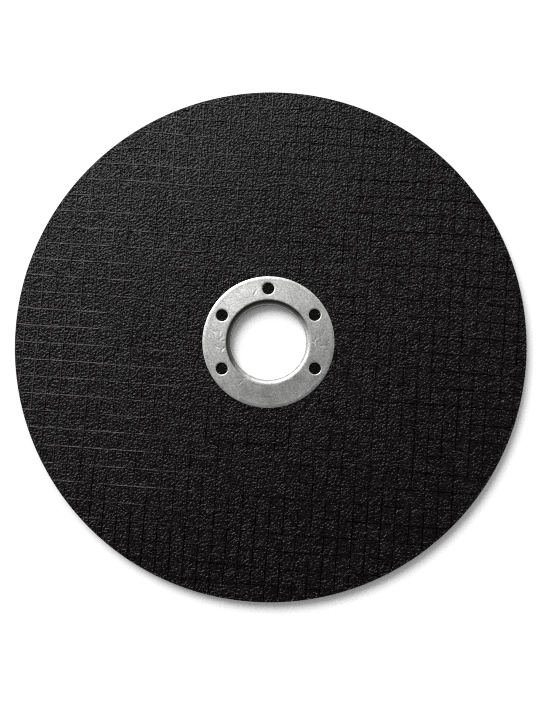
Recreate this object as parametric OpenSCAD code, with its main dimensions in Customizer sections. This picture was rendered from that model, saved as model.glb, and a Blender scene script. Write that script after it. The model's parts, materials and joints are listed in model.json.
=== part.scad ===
// Flat cut-off wheel: a mesh-reinforced abrasive disc on a pressed steel centre ring.
// The wheel lies front face up. Its axis is Z, its back face is on Z = 0 and +Y is the top of the front face.

/* [Abrasive disc] */
// Outside diameter of the wheel
wheel_d = 150; // [115:1:230]
// Thickness of the abrasive body
wheel_t = 3; // [2:0.1:4]
// Size of the bevel that breaks the two rim edges
rim_bevel = 0.25; // [0.1:0.05:0.5]

/* [Mesh imprint] */
// Distance between the mesh lines that run across the front face
across_pitch = 5; // [3:0.5:10]
// Depth of a line that runs across
across_depth = 0.12; // [0.06:0.01:0.18]
// Distance between the mesh lines that run up the front face
up_pitch = 4; // [3:0.5:10]
// Depth of a line that runs up
up_depth = 0.1; // [0.06:0.01:0.18]
// Width of an imprinted line
mesh_line_w = 0.5; // [0.3:0.05:0.8]
// Turn of the mesh about the wheel axis, in degrees
mesh_turn = -4.2; // [-45:0.1:45]

/* [Centre ring] */
// Diameter of the bore that fits the spindle
bore_d = 22.23; // [20:0.01:25.4]
// Thickness of the sheet that the ring is pressed from
ring_sheet = 0.8; // [0.6:0.05:1]
// Radial width of the flange, from the bore to its outer edge
flange_w = 8.2; // [7.5:0.1:12]
// Depth to which the flange is pressed into the front face
flange_sink = 0.3; // [0.2:0.05:0.5]
// Radial width of the flange's rounded outer edge
edge_w = 1.2; // [0.8:0.1:1.6]
// Inside radius of the bend from the flange to the collar
bend_in_r = 0.4; // [0.2:0.05:1]
// Distance by which the collar stops short of the back face
collar_short = 0.3; // [0.1:0.1:0.5]

/* [Anchor holes] */
// Equal places around the flange, of which the lowest is left plain
hole_places = 6; // [4:1:8]
// Diameter of a hole
hole_d = 3.5; // [2.5:0.1:4]
// Distance from the bore wall to the centre of a hole
hole_inset = 4.6; // [4.2:0.1:5]
// Size of the bevel that breaks a hole's upper edge
hole_bevel = 0.25; // [0.1:0.05:0.4]

/* [Hidden] */
$fn = 180;
// Length by which a cut runs past the surface that it opens
over = 1;
// Direction of the place on the flange that has no hole
plain_place = 270;
wheel_r = wheel_d / 2;
bore_r = bore_d / 2;
ring_r = bore_r + flange_w;
collar_r = bore_r + ring_sheet;
flange_seat = wheel_t - flange_sink;
flange_top = flange_seat + ring_sheet;
bend_out_r = bend_in_r + ring_sheet;
bend_center = [bore_r + bend_out_r, flange_top - bend_out_r];
flange_proud = flange_top - wheel_t;
// Arc that leaves the flange's top level and meets the front face at the flange's outer edge
edge_r = (pow(edge_w, 2) + pow(flange_proud, 2)) / (2 * flange_proud);
hole_r = hole_d / 2;
hole_circle_r = bore_r + hole_inset;
hole_pitch = 360 / hole_places;
abrasive_color = [0.14, 0.13, 0.13];
steel_color = [0.70, 0.70, 0.69];

// Half section of the disc: bevelled rim, seat for the flange and a bore that the collar lines
module disc_profile() {
    difference() {
        polygon([
            [collar_r, 0],
            [wheel_r - rim_bevel, 0],
            [wheel_r, rim_bevel],
            [wheel_r, wheel_t - rim_bevel],
            [wheel_r - rim_bevel, wheel_t],
            [ring_r, wheel_t],
            [ring_r, flange_seat],
            [collar_r, flange_seat],
        ]);
        bend_corner();
    }
}

// Sharp corner of the disc's bore, outside the inner radius of the ring's bend
module bend_corner() {
    difference() {
        translate([collar_r, bend_center[1]]) square(bend_in_r);
        translate(bend_center) circle(r = bend_in_r);
    }
}

// One V-shaped line pressed into the front face, along X
module mesh_line(depth) {
    length = wheel_d + 2 * over;
    rotate([90, 0, 90])
        translate([0, wheel_t, -length / 2])
            linear_extrude(height = length)
                polygon([[-mesh_line_w, depth], [mesh_line_w, depth], [0, -depth]]);
}

// All lines of one direction, with the outermost at least half a pitch inside the rim
module mesh_lines(pitch, depth) {
    count = floor((wheel_r - pitch / 2) / pitch);
    for (i = [-count : count])
        translate([0, i * pitch, 0])
            mesh_line(depth);
}

module abrasive_disc() {
    color(abrasive_color)
        difference() {
            difference() {
                rotate_extrude() disc_profile();
                rotate(mesh_turn) mesh_lines(across_pitch, across_depth);
            }
            rotate(mesh_turn) rotate(90) mesh_lines(up_pitch, up_depth);
        }
}

// Half section of the flange, from the bend to its rounded outer edge
module flange_profile() {
    flat_end = ring_r - edge_w;
    intersection() {
        translate([bend_center[0], flange_seat]) square([ring_r - bend_center[0], ring_sheet]);
        union() {
            translate([bend_center[0], flange_seat]) square([flat_end - bend_center[0], ring_sheet]);
            translate([flat_end, flange_top - edge_r]) circle(r = edge_r);
        }
    }
}

// Half section of the bend, a quarter turn of the sheet
module bend_profile() {
    intersection() {
        translate([bore_r, bend_center[1]]) square(bend_out_r);
        difference() {
            translate(bend_center) circle(r = bend_out_r);
            translate(bend_center) circle(r = bend_in_r);
        }
    }
}

// Half section of the collar that lines the bore
module collar_profile() {
    translate([bore_r, collar_short]) square([ring_sheet, bend_center[1] - collar_short]);
}

// Cut of one anchor hole, with its bevelled mouth
module anchor_hole() {
    translate([0, 0, flange_seat - over])
        cylinder(r = hole_r, h = ring_sheet + 2 * over);
    translate([0, 0, flange_top - hole_bevel])
        cylinder(r1 = hole_r, r2 = hole_r + hole_bevel + over, h = hole_bevel + over);
}

module center_ring() {
    color(steel_color)
        difference() {
            rotate_extrude() {
                flange_profile();
                bend_profile();
                collar_profile();
            }
            for (i = [1 : hole_places - 1])
                rotate(plain_place + i * hole_pitch)
                    translate([hole_circle_r, 0, 0])
                        anchor_hole();
        }
}

abrasive_disc();
center_ring();
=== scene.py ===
import json
import math

import bpy
import numpy as np
from mathutils import Matrix, Vector, noise
from mathutils.geometry import delaunay_2d_cdt


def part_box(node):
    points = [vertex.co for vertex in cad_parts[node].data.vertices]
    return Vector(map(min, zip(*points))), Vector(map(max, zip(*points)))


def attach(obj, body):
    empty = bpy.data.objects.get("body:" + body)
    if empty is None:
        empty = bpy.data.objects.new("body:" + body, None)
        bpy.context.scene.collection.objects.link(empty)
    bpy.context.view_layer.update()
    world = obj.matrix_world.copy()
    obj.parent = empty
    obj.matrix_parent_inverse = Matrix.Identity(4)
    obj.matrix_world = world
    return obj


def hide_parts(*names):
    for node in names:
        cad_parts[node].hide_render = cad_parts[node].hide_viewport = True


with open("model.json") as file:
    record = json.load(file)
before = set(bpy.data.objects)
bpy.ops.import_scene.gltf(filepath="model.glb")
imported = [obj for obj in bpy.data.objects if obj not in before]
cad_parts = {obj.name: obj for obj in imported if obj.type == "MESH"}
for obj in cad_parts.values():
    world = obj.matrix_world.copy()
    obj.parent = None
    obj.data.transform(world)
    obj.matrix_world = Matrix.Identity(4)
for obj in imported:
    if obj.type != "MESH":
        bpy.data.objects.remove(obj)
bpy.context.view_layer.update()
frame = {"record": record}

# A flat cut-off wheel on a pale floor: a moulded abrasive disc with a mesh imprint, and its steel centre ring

MM = 0.001
RANDOM = np.random.default_rng(7)

# Sizes that the frame gives, in millimetres
DISC_LOW, DISC_HIGH = (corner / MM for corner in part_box("abrasive_disc"))
RING_LOW, RING_HIGH = (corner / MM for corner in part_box("center_ring"))
BORE_R = frame["record"]["mounts"][0]["dims"]["r_mm"]
WHEEL_R = min(DISC_HIGH.x, DISC_HIGH.y, -DISC_LOW.x, -DISC_LOW.y)
WHEEL_T = DISC_HIGH.z
RING_R = RING_HIGH.x
FLANGE_TOP = RING_HIGH.z
COLLAR_END = RING_LOW.z

# Rim of the disc, in millimetres
RIM_ROUND = 0.25
FACE_R = WHEEL_R - RIM_ROUND

# Ring, pressed from one sheet, in millimetres and degrees
RING_SHEET = 0.8
FLANGE_SINK = 0.3
FLANGE_SEAT = WHEEL_T - FLANGE_SINK
FLANGE_PROUD = FLANGE_TOP - WHEEL_T
FLANGE_SLOPE = math.tan(math.radians(3.5))
EDGE_W = 1.2
FLAT_END_R = RING_R - EDGE_W
EDGE_ARC_R = (EDGE_W**2 + FLANGE_PROUD**2) / (2 * FLANGE_PROUD)
EDGE_ARC_DEG = math.degrees(math.asin(EDGE_W / EDGE_ARC_R))
BEND_IN_R = 0.4
BEND_OUT_R = BEND_IN_R + RING_SHEET
BEND_R = BORE_R + BEND_OUT_R
BEND_Z = FLANGE_TOP - BEND_OUT_R
COLLAR_R = BORE_R + RING_SHEET
LIP_W = 1.42
LIP_R = BORE_R + LIP_W

# Anchor holes of the ring, in millimetres and degrees
HOLE_R = 1.75
HOLE_ROUND = 0.35
MOUTH_R = HOLE_R + HOLE_ROUND
HOLE_INSET = 4.6
HOLE_CIRCLE_R = BORE_R + HOLE_INSET
HOLE_PLACES = 6
HOLE_PITCH = 360 / HOLE_PLACES
PLAIN_PLACE = 270
HOLE_ANGLES = [math.radians(PLAIN_PLACE + HOLE_PITCH * place) for place in range(1, HOLE_PLACES)]
HOLE_CENTERS = [(HOLE_CIRCLE_R * math.cos(angle), HOLE_CIRCLE_R * math.sin(angle)) for angle in HOLE_ANGLES]

# Fine scratches on the flange, in millimetres, and their bend in radians per millimetre
# A group is the middle and spread of its scratches' places in degrees, and their number
SCRATCH_GROUPS = [(182, 14, 9), (4, 16, 10), (115, 25, 2), (230, 15, 2), (320, 12, 2)]
SCRATCH_W = 0.3
SCRATCH_STEP = 0.14
SCRATCH_DEPTH = 0.06
SCRATCH_RADII = (BEND_R + 1.0, FLAT_END_R - 0.8)
SCRATCH_LENGTHS = (1.0, 3.0)
SCRATCH_BEND = 0.25
SCRATCH_CLEAR = 0.25

# Points around the circles of the meshes, and steps along their arcs
RIM_POINTS = 940
SEAT_POINTS = 240
BEND_POINTS = 192
EDGE_POINTS = 288
HOLE_POINTS = 40
BACK_RINGS = [(66, 620), (54, 420), (42, 320), (30, 240), (20, 200), (COLLAR_R, BEND_POINTS)]
RIM_STEPS = 3
SEAT_STEPS = 15
EDGE_STEPS = 8
LIP_STEPS = 14
CORNER_STEPS = 5
MOUTH_STEPS = 5
SHARP_ANGLE = math.radians(38)

# Uneven grid on the flange's top, in millimetres
FLANGE_STEP = 0.36
FLANGE_JITTER = 0.1
FLANGE_CLEAR = 0.2

# Shares of a circle's radius that allow for the straight sides of its points
RING_SHARE = 0.999
HOLE_SHARE = 0.995

# Kind of fill, which is triangles out to the hull, and the distance at which two points count as one
FILL_KIND = 0
FILL_EPSILON = 1e-7

# Mesh imprint on the front face, in millimetres and degrees
ACROSS_PITCH = 5.0
UP_PITCH = 4.0
ACROSS_DEPTH = 0.17
UP_DEPTH = 0.2
MESH_TURN = -4.2
GRID_STEP = 0.65
GRID_JITTER = 0.14
LINE_JITTER_SHARE = 0.15
LINE_SLACK = 0.01
EDGE_MARGIN = 0.22
FACE_GRAIN = 0.012

# Profile of a line that runs across, at offsets upward from it; a line that runs up has it mirrored
# Offsets and ridge are in millimetres, the groove is in shares of its depth, painted highlight and calm are
# shares
LINE_OFFSETS = [-0.13, -0.04, 0.04, 0.13, 0.36]
LINE_GROOVE = [0.0, -1.0, -1.0, 0.0, 0.0]
LINE_RIDGE = [0.0, -0.18, 0.08, 0.08, 0.0]
LINE_HIGHLIGHT = [0.0, 0.2, 1.0, 1.0, 0.0]
LINE_CALM = [0.2, 1.0, 1.0, 0.8, 0.2]

# Smooth noise: its amount, the size of its features in millimetres and a seed
UP_WARP = [(0.3, 18.0, 1.5), (0.06, 3.0, 3.5)]
ACROSS_WARP = [(0.4, 20.0, 5.5), (0.06, 3.0, 7.5)]
UP_FADING = (0.5, 6.0, 11.5)
ACROSS_FADING = (0.5, 7.0, 13.5)
RIDGE_DRIFT = (0.8, 20.0, 15.5)
HIGHLIGHT_BREAKS = (1.7, 4.5, 17.5)

# Strength of the lines at the middle and its rise to the rim
STRENGTH_MIDDLE = 0.35
STRENGTH_RISE = 0.5

# Share of ridges at the middle, and the distances to the left and upward over which it grows by 1
UP_RIDGES = (-0.1, 45.0, 60.0)
ACROSS_RIDGES = (0.12, 42.0, 90.0)
# Painted highlight on the ridged mesh lines, which grows with the ridges toward the upper left, where they
# face the key light
UP_HIGHLIGHT_SHARE = 0.6
ACROSS_HIGHLIGHT_SHARE = 1.0
HIGHLIGHT_MEAN = 0.75

# Noise of the materials: size in millimetres, detail and roughness
NOISE_TURN = (0.6, 0.45, 0.3)
NOISE_MIDDLE = 0.5
NOISE_RANGE = (0.3, 0.7)
GRAIN_NOISE = (0.6, 1.4, 0.45)
PATCH_NOISE = (2.4, 1.0, 0.5)
SPECKLE_NOISE = (0.5, 3.0, 0.65)
CLOUD_NOISE = (3.5, 2.0, 0.5)

# Black abrasive, with its bump in millimetres; its colour is darker where the grain is low, which is painted
# shade in the hollows
GRAIN_RANGE = (0.35, 0.62)
GRAIN_BUMP = 0.42
PATCH_SHARES = (0.75, 1.25)
CALM_SHARES = (1.0, 0.4)
ABRASIVE_DARK = (0.002, 0.0014, 0.0015)
ABRASIVE_LIGHT = (0.0038, 0.0028, 0.0029)
# Painted highlight on the lit ridges of the mesh lines
PAINTED_HIGHLIGHT_TONE = (0.072, 0.067, 0.066)
ABRASIVE_ROUGH = (0.26, 0.18)
ABRASIVE_SPECULAR = 0.178

# Zinc-grey steel, and painted shade on the upper left of its inner lip and at the foot of its collar, with
# sizes in millimetres
SPECKLE_RANGE = (0.32, 0.68)
STEEL_DARK = (0.3, 0.3, 0.296)
STEEL_LIGHT = (0.595, 0.595, 0.587)
STEEL_ROUGH = (0.37, 0.45)
STEEL_BUMP = 0.02
# Painted shade: dark colour on the lip's upper left, which faces away from the key light, and at the collar's
# foot
LIP_SHADE_TONE = (0.07, 0.068, 0.066)
LIP_SHADE_SMOOTHING = 0.12
LIP_SHADE_ANGLE = math.radians(125)
LIP_SHADE_WAY = (math.cos(LIP_SHADE_ANGLE), math.sin(LIP_SHADE_ANGLE))
LIP_SHADE_RADII = (BEND_R - 0.1, BEND_R + 0.3)
LIP_SHADE_UPPER = (BEND_Z + 0.1, BEND_Z + 0.5)
LIP_SHADE_LOWER = (0.8, 1.3)
LIP_SHADE_TURN = (-0.45, 0.15)

# Floor, with its size in metres
FLOOR_HALF = 20.0
FLOOR_TONE = (0.86, 0.86, 0.86)
FLOOR_ROUGH = 0.9

# Camera, with its places in millimetres
PHOTO_HEIGHT = 720
FOCAL_PX = 882.5
SENSOR = 36.0
CAMERA_AT = (9.28, -24.82, 259.88)
CAMERA_TO = (0.52, -5.35, 3.0)
CLIP_START = 0.01

# Light and view, with sizes in metres, angles in degrees and power in watts
KEY_AZIMUTH = 122.0
KEY_ELEVATION = 42.5
KEY_DISTANCE = 6.0
KEY_SIZE = 3.7
KEY_POWER = 370.0
SKY_BRIGHT = 1.68
SKY_DARK = 0.2
SKY_DARK_WAY = (0.14, -0.46, 0.9)
SKY_FADE = (0.05, 0.95)
BLACK_LEVEL = 0.0029
PIXEL_FILTER = 1.1


def smooth_noise(x, y, amount, size, seed):
    """Smooth noise at each point, from about minus to plus the amount, with features of about that size."""
    return amount * np.array([noise.noise((a / size, b / size, seed)) for a, b in zip(x, y)])


def arc(center_r, center_z, radius, start_deg, end_deg, steps):
    """Points (r, z) along an arc of the half section, both ends included."""
    angles = np.radians(np.linspace(start_deg, end_deg, steps + 1))
    return np.c_[center_r + radius * np.cos(angles), center_z + radius * np.sin(angles)]


class MeshParts:
    """Points and triangles of one closed mesh, added part by part."""

    def __init__(self):
        self.points = []
        self.faces = []

    def add(self, points):
        """Adds points and returns their indices."""
        start = len(self.points)
        self.points.extend(map(tuple, points))
        return list(range(start, len(self.points)))

    def ring(self, radius, z, count, center=(0.0, 0.0)):
        """Adds a level circle of points and returns their indices, counter-clockwise from above."""
        angles = np.arange(count) * 2 * math.pi / count
        x = center[0] + radius * np.cos(angles)
        y = center[1] + radius * np.sin(angles)
        return self.add(np.c_[x, y, np.full(count, z)])

    def rings(self, profile, count, center=(0.0, 0.0)):
        """Adds a circle of points for each (r, z) of a profile."""
        return [self.ring(radius, z, count, center) for radius, z in profile]

    def zip_rings(self, a, b):
        """Joins two rings with triangles, which face outward where b lies straight above a."""
        i = j = 0
        na, nb = len(a), len(b)
        while i < na or j < nb:
            if j >= nb or (i < na and (i + 1) * nb <= (j + 1) * na):
                self.faces.append((a[i % na], a[(i + 1) % na], b[j % nb]))
                i += 1
            else:
                self.faces.append((a[i % na], b[(j + 1) % nb], b[j % nb]))
                j += 1

    def lathe(self, rings):
        """Joins each ring to the next."""
        for a, b in zip(rings, rings[1:]):
            self.zip_rings(a, b)

    def fill(self, loops, inner, keep, upward=True, creases=()):
        """Fills the flat area between loops of existing points, using inner points too, and keeps the
        triangles whose middle passes the keep test. Creases are pairs of inner points, by their place in
        the list, that an edge must join."""
        ids = [i for loop in loops for i in loop] + list(inner)
        flat = [Vector(self.points[i][:2]) for i in ids]
        edges = []
        start = 0
        for loop in loops:
            n = len(loop)
            edges += [(start + k, start + (k + 1) % n) for k in range(n)]
            start += n
        edges += [(start + a, start + b) for a, b in creases]
        out = delaunay_2d_cdt(flat, edges, [], FILL_KIND, FILL_EPSILON, True)
        verts, tris, sources = out[0], out[2], out[3]
        xy = np.array([tuple(v) for v in verts])
        for tri in tris:
            middle = xy[list(tri)].mean(axis=0)
            if keep(middle):
                corners = [ids[sources[k][0]] for k in tri]
                self.faces.append(tuple(corners if upward else corners[::-1]))

    def build(self, name, attributes=None, facets=0):
        """Makes the object, in metres. As many faces as facets says, from the first, are not smooth."""
        mesh = bpy.data.meshes.new(name)
        mesh.from_pydata((np.array(self.points) * MM).tolist(), [], self.faces)
        for key, values in (attributes or {}).items():
            layer = mesh.attributes.new(key, "FLOAT", "POINT")
            layer.data.foreach_set("value", np.asarray(values, dtype=np.float32))
        mesh.polygons.foreach_set("use_smooth", np.arange(len(self.faces)) >= facets)
        mesh.update()
        obj = bpy.data.objects.new(name, mesh)
        bpy.context.scene.collection.objects.link(obj)
        return obj


class MeshLines:
    """Mesh lines of one direction: their pitch, their profile and where they are strong, ridged or carry a
    painted highlight.
    """

    def __init__(self, pitch, depth, mirrored, warp, fading, ridges, highlight_share):
        sign = -1 if mirrored else 1
        self.pitch = pitch
        self.offsets = [sign * offset for offset in LINE_OFFSETS[::sign]]
        self.groove = [depth * share for share in LINE_GROOVE[::sign]]
        self.ridge = LINE_RIDGE[::sign]
        self.painted_highlight = LINE_HIGHLIGHT[::sign]
        self.calm = LINE_CALM[::sign]
        self.warp = warp
        self.fading = fading
        self.ridges = ridges
        self.highlight_share = highlight_share

    def places(self):
        """Places of the grid on the axis across the lines: close at each line, even between the lines."""
        low, high = self.offsets[-1], self.pitch + self.offsets[0]
        between = np.linspace(low, high, round((high - low) / GRID_STEP) + 1)[1:-1]
        cell = np.concatenate([self.offsets, between])
        count = math.ceil(WHEEL_R / self.pitch)
        return np.concatenate([k * self.pitch + cell for k in range(-count, count + 1)])

    def distance(self, places):
        """Signed distance of each place from the nearest line."""
        return (places + self.pitch / 2) % self.pitch - self.pitch / 2

    def covers(self, distance):
        """Whether the profile of a line reaches each distance."""
        return (distance >= self.offsets[0] - LINE_SLACK) & (distance <= self.offsets[-1] + LINE_SLACK)

    def warped(self, places, u, v):
        """The places of grid points (u, v) on the axis across the lines, uneven and gently warped."""
        jitter = RANDOM.uniform(-GRID_JITTER, GRID_JITTER, len(places))
        share = np.where(self.covers(self.distance(places)), LINE_JITTER_SHARE, 1.0)
        return places + jitter * share + sum(smooth_noise(u, v, *layer) for layer in self.warp)

    def height(self, distance, ridge_share):
        """Height across a line, blended from a groove to a ridge."""
        low = np.interp(distance, self.offsets, self.groove)
        return low + (np.interp(distance, self.offsets, self.ridge) - low) * ridge_share

    def value(self, distance, profile):
        """What a profile gives at each distance, and 0 off the lines."""
        return np.where(self.covers(distance), np.interp(distance, self.offsets, profile), 0.0)

    def relief(self, x, y, distance, drift):
        """Height, calm share and painted highlight share at each point of the front face."""
        far = STRENGTH_MIDDLE + STRENGTH_RISE * np.hypot(x, y) / WHEEL_R
        strength = np.clip(far + smooth_noise(x, y, *self.fading), 0, 1)
        middle, left, upward = self.ridges
        ridge_share = np.clip(middle - x / left + y / upward + drift, 0, 1)
        height = self.height(distance, ridge_share) * strength
        calm = self.value(distance, self.calm) * strength
        painted_highlight = self.value(distance, self.painted_highlight) * strength * ridge_share * self.highlight_share
        return height, calm, painted_highlight


def crease_pairs(inside, on_up, on_across, row_length):
    """Pairs of neighbouring grid points along the rows and columns of the mesh lines."""
    place = np.where(inside, np.cumsum(inside) - 1, -1).reshape(-1, row_length)
    along_rows = (place[:, :-1], place[:, 1:], on_across.reshape(place.shape)[:, 1:])
    along_columns = (place[:-1], place[1:], on_up.reshape(place.shape)[1:])
    pairs = []
    for a, b, wanted in (along_rows, along_columns):
        good = wanted & (a >= 0) & (b >= 0)
        pairs += list(zip(a[good].tolist(), b[good].tolist()))
    return pairs


def face_grid(up, across):
    """Places (x, y) on the front face, in a grid that follows the mesh lines and is turned with them. Also
    gives the distances from the nearest line of each direction, and the pairs of points along the lines."""
    columns, rows = up.places(), across.places()
    u, v = (grid.ravel() for grid in np.meshgrid(columns, rows))
    du, dv = up.distance(u), across.distance(v)
    wu = up.warped(u, u, v)
    wv = across.warped(v, u, v)
    turn = math.radians(MESH_TURN)
    x = wu * math.cos(turn) - wv * math.sin(turn)
    y = wu * math.sin(turn) + wv * math.cos(turn)
    r = np.hypot(x, y)
    inside = (r > RING_R + EDGE_MARGIN) & (r < FACE_R - EDGE_MARGIN)
    creases = crease_pairs(inside, up.covers(du), across.covers(dv), len(columns))
    return x[inside], y[inside], du[inside], dv[inside], creases


def front_face(parts):
    """Adds the points of the front face. Also gives their calm and painted highlight shares and the pairs on
    lines.
    """
    up = MeshLines(UP_PITCH, UP_DEPTH, True, UP_WARP, UP_FADING, UP_RIDGES, UP_HIGHLIGHT_SHARE)
    across = MeshLines(
        ACROSS_PITCH, ACROSS_DEPTH, False, ACROSS_WARP, ACROSS_FADING, ACROSS_RIDGES, ACROSS_HIGHLIGHT_SHARE
    )
    x, y, du, dv, creases = face_grid(up, across)
    drift = smooth_noise(x, y, *RIDGE_DRIFT)
    up_height, up_calm, up_highlight = up.relief(x, y, du, drift)
    across_height, across_calm, across_highlight = across.relief(x, y, dv, drift)
    calm = np.clip(np.maximum(up_calm, across_calm), 0, 1)
    broken = np.clip(HIGHLIGHT_MEAN + smooth_noise(x, y, *HIGHLIGHT_BREAKS), 0, 1)
    painted_highlight = np.clip(np.maximum(up_highlight, across_highlight) * broken, 0, 1)
    grain = RANDOM.normal(0, FACE_GRAIN, len(x))
    front = parts.add(np.c_[x, y, WHEEL_T + up_height + across_height + grain])
    return front, calm, painted_highlight, creases


def rim_rings(parts):
    """Rings of the rounded rim, from the front face down to the back face."""
    profile = [
        *arc(FACE_R, WHEEL_T - RIM_ROUND, RIM_ROUND, 90, 0, RIM_STEPS)[1:],
        (WHEEL_R, WHEEL_T / 2),
        *arc(FACE_R, RIM_ROUND, RIM_ROUND, 0, -90, RIM_STEPS),
    ]
    return parts.rings(profile, RIM_POINTS)


def back_rings(parts):
    """Rings of the flat back face, from the rim in to the bore."""
    return [parts.ring(radius, 0.0, count) for radius, count in BACK_RINGS]


def bend_inside():
    """Points (r, z) where the ring's bend meets the disc, from the collar up to the flange."""
    return [(COLLAR_R, BEND_Z), *arc(BEND_R, BEND_Z, BEND_IN_R, 180, 90, CORNER_STEPS)[1:]]


def seat_rings(parts):
    """Rings of the disc's bore and of the flat that the flange sits on."""
    flat = [(radius, FLANGE_SEAT) for radius in np.linspace(BEND_R, RING_R, SEAT_STEPS + 1)[1:]]
    return parts.rings(bend_inside(), BEND_POINTS) + parts.rings(flat, SEAT_POINTS)


def make_disc():
    """The abrasive body. Its face has flat facets, and the rest of it is smooth."""
    parts = MeshParts()
    front, calm, painted_highlight, creases = front_face(parts)
    rim = parts.ring(FACE_R, WHEEL_T, RIM_POINTS)
    seat = parts.ring(RING_R, WHEEL_T, SEAT_POINTS)
    parts.fill([rim, seat], front, lambda p: RING_R < math.hypot(*p) < FACE_R, creases=creases)
    facets = len(parts.faces)
    rings = [rim] + rim_rings(parts) + back_rings(parts) + seat_rings(parts) + [seat]
    parts.lathe(rings[::-1])

    x, y, z = np.array(parts.points).T
    mesh_line = np.where((z > BEND_Z) & (np.hypot(x, y) <= RING_R), 1.0, 0.0)
    mesh_line[: len(calm)] = calm
    bright = np.zeros(len(x))
    bright[: len(painted_highlight)] = painted_highlight
    return parts.build("abrasive_body", {"mesh_line": mesh_line, "painted_highlight": bright}, facets)


def on_top(x, y, clear):
    """Whether each point lies on the flange's top, clear of its edges and of the holes by some distance."""
    r = np.hypot(x, y)
    keep = (r > LIP_R + clear) & (r < FLAT_END_R - clear)
    for hole_x, hole_y in HOLE_CENTERS:
        keep &= np.hypot(x - hole_x, y - hole_y) > MOUTH_R + clear
    return keep


def on_flange(point, low, high, hole_r):
    """Whether a point lies between two circles about the axis and outside the holes."""
    if not low * RING_SHARE < math.hypot(*point) < high:
        return False
    return all(math.hypot(point[0] - x, point[1] - y) > hole_r * HOLE_SHARE for x, y in HOLE_CENTERS)


def scratch(at, heading, bend, length):
    """Points (x, y, depth) of one scratch, in three rows along it, which fades towards its ends."""
    points = []
    steps = int(length / SCRATCH_STEP)
    for k in range(steps):
        way = np.array([math.cos(heading), math.sin(heading)])
        side = np.array([-way[1], way[0]])
        depth = SCRATCH_DEPTH * math.sqrt(math.sin(math.pi * (k + 0.5) / steps))
        for row in (-1, 0, 1):
            x, y = at + side * row * SCRATCH_W / 2
            points.append((x, y, depth if row == 0 else 0.0))
        at = at + way * SCRATCH_STEP
        heading += bend * SCRATCH_STEP
    return points


def scratch_points():
    """Points (x, y, depth) of the scratches that lie on the flange's top."""
    points = []
    for middle_deg, spread_deg, count in SCRATCH_GROUPS:
        for _ in range(count):
            angle = math.radians(middle_deg + RANDOM.uniform(-spread_deg, spread_deg))
            radius = RANDOM.uniform(*SCRATCH_RADII)
            heading = RANDOM.uniform(0, math.pi)
            bend = RANDOM.uniform(-SCRATCH_BEND, SCRATCH_BEND)
            length = RANDOM.uniform(*SCRATCH_LENGTHS)
            start = np.array([radius * math.cos(angle), radius * math.sin(angle)])
            points += scratch(start, heading, bend, length)
    points = np.array(points)
    return points[on_top(points[:, 0], points[:, 1], SCRATCH_CLEAR)]


def flange_points():
    """Points (x, y, depth) of the flange's top: an uneven grid, and the scratches in it."""
    places = np.arange(-RING_R, RING_R, FLANGE_STEP)
    x, y = (grid.ravel() for grid in np.meshgrid(places, places))
    x = x + RANDOM.uniform(-FLANGE_JITTER, FLANGE_JITTER, x.size)
    y = y + RANDOM.uniform(-FLANGE_JITTER, FLANGE_JITTER, y.size)
    cuts = scratch_points()
    keep = on_top(x, y, FLANGE_CLEAR)
    for cut_x, cut_y, _ in cuts:
        keep &= np.hypot(x - cut_x, y - cut_y) > FLANGE_CLEAR
    x, y = x[keep], y[keep]
    return np.concatenate([np.c_[x, y, np.zeros(len(x))], cuts])


def edge_rings(parts):
    """Rings of the flange's rounded outer edge and of the wall that sits in the disc."""
    edge = arc(FLAT_END_R, FLANGE_TOP - EDGE_ARC_R, EDGE_ARC_R, 90, 90 - EDGE_ARC_DEG, EDGE_STEPS)[1:]
    return parts.rings([*edge, (RING_R, FLANGE_SEAT)], EDGE_POINTS)


def collar_rings(parts):
    """Rings of the inner lip, the collar and the inside of the bend."""
    bend = arc(BEND_R, BEND_Z, BEND_OUT_R, 90, 180, LIP_STEPS)[1:]
    lip = [(BORE_R + (radius - BORE_R) * LIP_W / BEND_OUT_R, z) for radius, z in bend]
    collar = [(BORE_R, COLLAR_END), (COLLAR_R, COLLAR_END)]
    return parts.rings(lip + collar + bend_inside(), BEND_POINTS)


def hole_wall(parts, mouth, center):
    """Joins the rounded mouth of a hole to its foot and returns the foot."""
    rounding = arc(MOUTH_R, FLANGE_TOP - HOLE_ROUND, HOLE_ROUND, 90, 180, MOUTH_STEPS)[1:]
    wall = [mouth] + parts.rings([*rounding, (HOLE_R, FLANGE_SEAT)], HOLE_POINTS, center)
    parts.lathe(wall)
    return wall[-1]


def slope_flange(parts):
    """Lowers the flange's top towards its outer edge."""
    for i, (x, y, z) in enumerate(parts.points):
        out = math.hypot(x, y) - LIP_R
        if out > 0 and z > WHEEL_T:
            drop = FLANGE_SLOPE * min(out, FLAT_END_R - LIP_R) * (z - WHEEL_T) / FLANGE_PROUD
            parts.points[i] = (x, y, z - drop)


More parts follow.
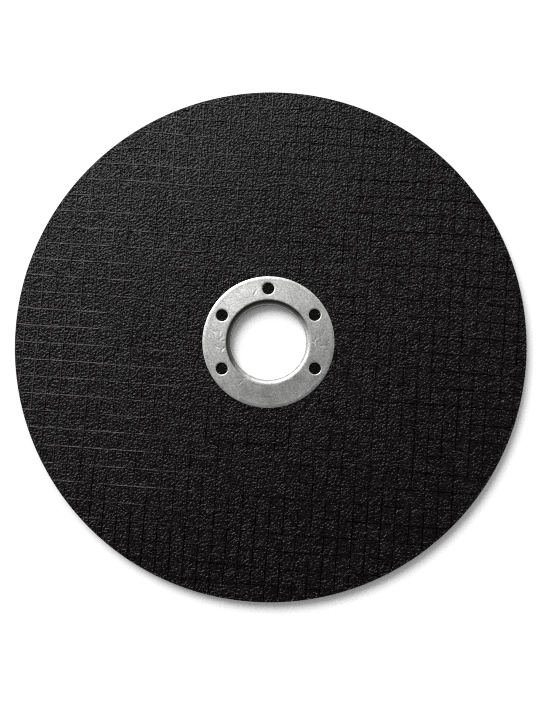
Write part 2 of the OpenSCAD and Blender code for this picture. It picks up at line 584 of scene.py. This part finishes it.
def make_ring():
    """The steel ring: flange with five holes, rounded edge, inner lip and collar."""
    parts = MeshParts()
    lip_top = parts.ring(LIP_R, FLANGE_TOP, BEND_POINTS)
    edge_top = parts.ring(FLAT_END_R, FLANGE_TOP, EDGE_POINTS)
    mouths = [parts.ring(MOUTH_R, FLANGE_TOP, HOLE_POINTS, center) for center in HOLE_CENTERS]
    x, y, depth = flange_points().T
    inner = parts.add(np.c_[x, y, FLANGE_TOP - depth])
    parts.fill([lip_top, edge_top] + mouths, inner, lambda p: on_flange(p, LIP_R, FLAT_END_R, MOUTH_R))

    edge = [edge_top] + edge_rings(parts)
    parts.lathe(edge[::-1])
    collar = [lip_top] + collar_rings(parts)
    parts.lathe(collar)
    feet = [hole_wall(parts, mouth, center) for mouth, center in zip(mouths, HOLE_CENTERS)]
    underside = [collar[-1], edge[-1]] + feet
    parts.fill(underside, [], lambda p: on_flange(p, BEND_R, RING_R, HOLE_R), upward=False)
    slope_flange(parts)
    obj = parts.build("steel_ring")
    obj.data.set_sharp_from_angle(angle=SHARP_ANGLE)
    return obj


def set_range(node, ends, outs):
    """Sets the ends of a map range node and what it gives there."""
    for key, number in zip(("From Min", "From Max", "To Min", "To Max"), (*ends, *outs)):
        node.inputs[key].default_value = number


class Nodes:
    """Short calls for building a material's node tree."""

    def __init__(self, name):
        self.material = bpy.data.materials.new(name)
        self.material.use_nodes = True
        self.tree = self.material.node_tree
        self.shader = self.tree.nodes["Principled BSDF"]
        self.place = self.new("ShaderNodeTexCoord").outputs["Object"]
        turned = self.new("ShaderNodeMapping")
        turned.inputs["Rotation"].default_value = NOISE_TURN
        self.link(self.place, turned.inputs["Vector"])
        self.turned = turned.outputs["Vector"]

    def new(self, kind, **settings):
        """Adds a node."""
        node = self.tree.nodes.new(kind)
        for key, value in settings.items():
            setattr(node, key, value)
        return node

    def link(self, source, target):
        """Links an output to an input."""
        self.tree.links.new(source, target)

    def attribute(self, name):
        """A value that the mesh carries at its points."""
        return self.new("ShaderNodeAttribute", attribute_name=name).outputs["Fac"]

    def noise(self, size_mm, detail, roughness):
        """Noise with features of about the given size."""
        node = self.new("ShaderNodeTexNoise")
        self.link(self.turned, node.inputs["Vector"])
        node.inputs["Scale"].default_value = 1 / (size_mm * MM)
        node.inputs["Detail"].default_value = detail
        node.inputs["Roughness"].default_value = roughness
        return node.outputs["Fac"]

    def ramp(self, value, ends, outs=(0.0, 1.0)):
        """A value carried from one range to another, and held at its ends."""
        node = self.new("ShaderNodeMapRange")
        self.link(value, node.inputs["Value"])
        set_range(node, ends, outs)
        return node.outputs["Result"]

    def math(self, operation, *values):
        """A sum or other operation on numbers and outputs."""
        node = self.new("ShaderNodeMath", operation=operation)
        for socket, value in zip(node.inputs, values):
            if isinstance(value, (int, float)):
                socket.default_value = value
            else:
                self.link(value, socket)
        return node.outputs["Value"]

    def mix(self, factor, a, b):
        """A colour between two colours."""
        node = self.new("ShaderNodeMix", data_type="RGBA")
        self.link(factor, node.inputs["Factor"])
        for socket, value in zip((node.inputs[6], node.inputs[7]), (a, b)):
            if isinstance(value, tuple):
                socket.default_value = (*value, 1.0)
            else:
                self.link(value, socket)
        return node.outputs[2]

    def bump(self, height, depth_mm):
        """A normal bent by a height."""
        node = self.new("ShaderNodeBump")
        node.inputs["Strength"].default_value = 1.0
        node.inputs["Distance"].default_value = depth_mm * MM
        self.link(height, node.inputs["Height"])
        return node.outputs["Normal"]


def abrasive_material():
    """Black resin with coarse grain, calmer on the mesh lines, with a painted highlight on the lines' ridges
    and painted shade in the grain's hollows.
    """
    n = Nodes("black_abrasive")
    grain = n.noise(*GRAIN_NOISE)
    patch = n.ramp(n.noise(*PATCH_NOISE), NOISE_RANGE, PATCH_SHARES)
    calm = n.math("MULTIPLY", patch, n.ramp(n.attribute("mesh_line"), (0.0, 1.0), CALM_SHARES))
    height = n.math("MULTIPLY", n.math("SUBTRACT", grain, NOISE_MIDDLE), calm)
    n.link(n.bump(height, GRAIN_BUMP), n.shader.inputs["Normal"])
    # Painted shade: the colour follows the grain's height, darker in its hollows
    tone = n.mix(n.ramp(grain, GRAIN_RANGE), ABRASIVE_DARK, ABRASIVE_LIGHT)
    # Painted highlight along the ridged mesh lines
    n.link(n.mix(n.attribute("painted_highlight"), tone, PAINTED_HIGHLIGHT_TONE), n.shader.inputs["Base Color"])
    n.link(n.ramp(grain, NOISE_RANGE, ABRASIVE_ROUGH), n.shader.inputs["Roughness"])
    n.shader.inputs["Specular IOR Level"].default_value = ABRASIVE_SPECULAR
    return n.material


def painted_shade_share(n):
    """Share of the painted shade: at the upper and the lower end of the bore's wall, on its upper left side,
    which faces away from the key light.
    """
    apart = n.new("ShaderNodeSeparateXYZ")
    n.link(n.place, apart.inputs[0])
    x, y, z = apart.outputs
    radius = n.math("SQRT", n.math("ADD", n.math("MULTIPLY", x, x), n.math("MULTIPLY", y, y)))
    inward = n.ramp(radius, [edge * MM for edge in LIP_SHADE_RADII], (1.0, 0.0))
    upper = n.ramp(z, [edge * MM for edge in LIP_SHADE_UPPER])
    lower = n.ramp(z, [edge * MM for edge in LIP_SHADE_LOWER], (1.0, 0.0))
    lip = n.math("MULTIPLY", inward, n.math("MAXIMUM", upper, lower))
    toward = n.math("ADD", n.math("MULTIPLY", x, LIP_SHADE_WAY[0]), n.math("MULTIPLY", y, LIP_SHADE_WAY[1]))
    return n.math("MULTIPLY", lip, n.ramp(n.math("DIVIDE", toward, radius), LIP_SHADE_TURN))


def steel_material():
    """Satin zinc-grey steel with fine speckles, cloudy gloss and painted shade on the inner lip's upper left
    and the collar's foot.
    """
    n = Nodes("zinc_grey_steel")
    speckle = n.noise(*SPECKLE_NOISE)
    # Painted shade on the upper left of the inner lip and at the foot of the collar
    painted_shade = painted_shade_share(n)
    tone = n.mix(n.ramp(speckle, SPECKLE_RANGE), STEEL_DARK, STEEL_LIGHT)
    n.link(n.mix(painted_shade, tone, LIP_SHADE_TONE), n.shader.inputs["Base Color"])
    n.shader.inputs["Metallic"].default_value = 1.0
    rough = n.ramp(n.noise(*CLOUD_NOISE), NOISE_RANGE, STEEL_ROUGH)
    rough = n.math("SUBTRACT", rough, n.math("MULTIPLY", painted_shade, LIP_SHADE_SMOOTHING))
    n.link(rough, n.shader.inputs["Roughness"])
    n.link(n.bump(speckle, STEEL_BUMP), n.shader.inputs["Normal"])
    return n.material


def floor_material():
    """Dull white paper."""
    n = Nodes("pale_floor")
    n.shader.inputs["Base Color"].default_value = (*FLOOR_TONE, 1.0)
    n.shader.inputs["Roughness"].default_value = FLOOR_ROUGH
    n.shader.inputs["Specular IOR Level"].default_value = 0.0
    return n.material


def dress(obj, material, node):
    """Gives a piece its material and its place in the frame."""
    obj.data.materials.append(material)
    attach(obj, "root")
    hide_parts(node)


def make_floor():
    """A wide level floor under the wheel."""
    mesh = bpy.data.meshes.new("floor")
    corners = [(x * FLOOR_HALF, y * FLOOR_HALF, 0) for x, y in ((-1, -1), (1, -1), (1, 1), (-1, 1))]
    mesh.from_pydata(corners, [], [(0, 1, 2, 3)])
    floor = bpy.data.objects.new("floor", mesh)
    bpy.context.scene.collection.objects.link(floor)
    mesh.materials.append(floor_material())


def looking(place, target, up):
    """World matrix of an object at place whose -Z axis points at target, with its Y axis towards up."""
    back = (place - target).normalized()
    right = up.cross(back).normalized()
    turn = Matrix((right, back.cross(right), back)).transposed()
    return Matrix.Translation(place) @ turn.to_4x4()


def make_camera():
    """The photo's camera, which looks down on the front face."""
    data = bpy.data.cameras.new("camera")
    data.sensor_width = SENSOR
    data.lens = FOCAL_PX / PHOTO_HEIGHT * SENSOR
    data.clip_start = CLIP_START
    camera = bpy.data.objects.new("camera", data)
    bpy.context.scene.collection.objects.link(camera)
    camera.matrix_world = looking(Vector(CAMERA_AT) * MM, Vector(CAMERA_TO) * MM, Vector((0, 1, 0)))
    bpy.context.scene.camera = camera


def make_light():
    """A large round key light at the upper left."""
    data = bpy.data.lights.new("key", "AREA")
    data.shape = "DISK"
    data.size = KEY_SIZE
    data.energy = KEY_POWER
    key = bpy.data.objects.new("key", data)
    bpy.context.scene.collection.objects.link(key)
    azimuth, elevation = math.radians(KEY_AZIMUTH), math.radians(KEY_ELEVATION)
    level = math.cos(elevation)
    way = Vector((math.cos(azimuth) * level, math.sin(azimuth) * level, math.sin(elevation)))
    key.matrix_world = looking(way * KEY_DISTANCE, Vector((0, 0, 0)), Vector((0, 0, 1)))


def make_sky():
    """Soft surrounding light, bright around the wheel and dark above it, where the camera is."""
    world = bpy.data.worlds.new("studio")
    world.use_nodes = True
    nodes, links = world.node_tree.nodes, world.node_tree.links
    way = nodes.new("ShaderNodeTexCoord").outputs["Generated"]
    toward = nodes.new("ShaderNodeVectorMath")
    toward.operation = "DOT_PRODUCT"
    links.new(way, toward.inputs[0])
    toward.inputs[1].default_value = Vector(SKY_DARK_WAY).normalized()
    ramp = nodes.new("ShaderNodeMapRange")
    ramp.interpolation_type = "SMOOTHSTEP"
    links.new(toward.outputs["Value"], ramp.inputs["Value"])
    set_range(ramp, SKY_FADE, (SKY_BRIGHT, SKY_DARK))
    links.new(ramp.outputs["Result"], nodes["Background"].inputs["Strength"])
    nodes["Background"].inputs["Color"].default_value = (1, 1, 1, 1)
    bpy.context.scene.world = world


def set_view():
    """Plain view with a slight black level. The denoiser is off, because it wipes out the grain."""
    scene = bpy.context.scene
    scene.cycles.filter_width = PIXEL_FILTER
    scene.cycles.use_denoising = False
    view = scene.view_settings
    view.view_transform = "Standard"
    view.use_curve_mapping = True
    view.curve_mapping.black_level = (BLACK_LEVEL, BLACK_LEVEL, BLACK_LEVEL)
    view.curve_mapping.update()


make_camera()
dress(make_disc(), abrasive_material(), "abrasive_disc")
dress(make_ring(), steel_material(), "center_ring")
make_floor()
make_light()
make_sky()
set_view()
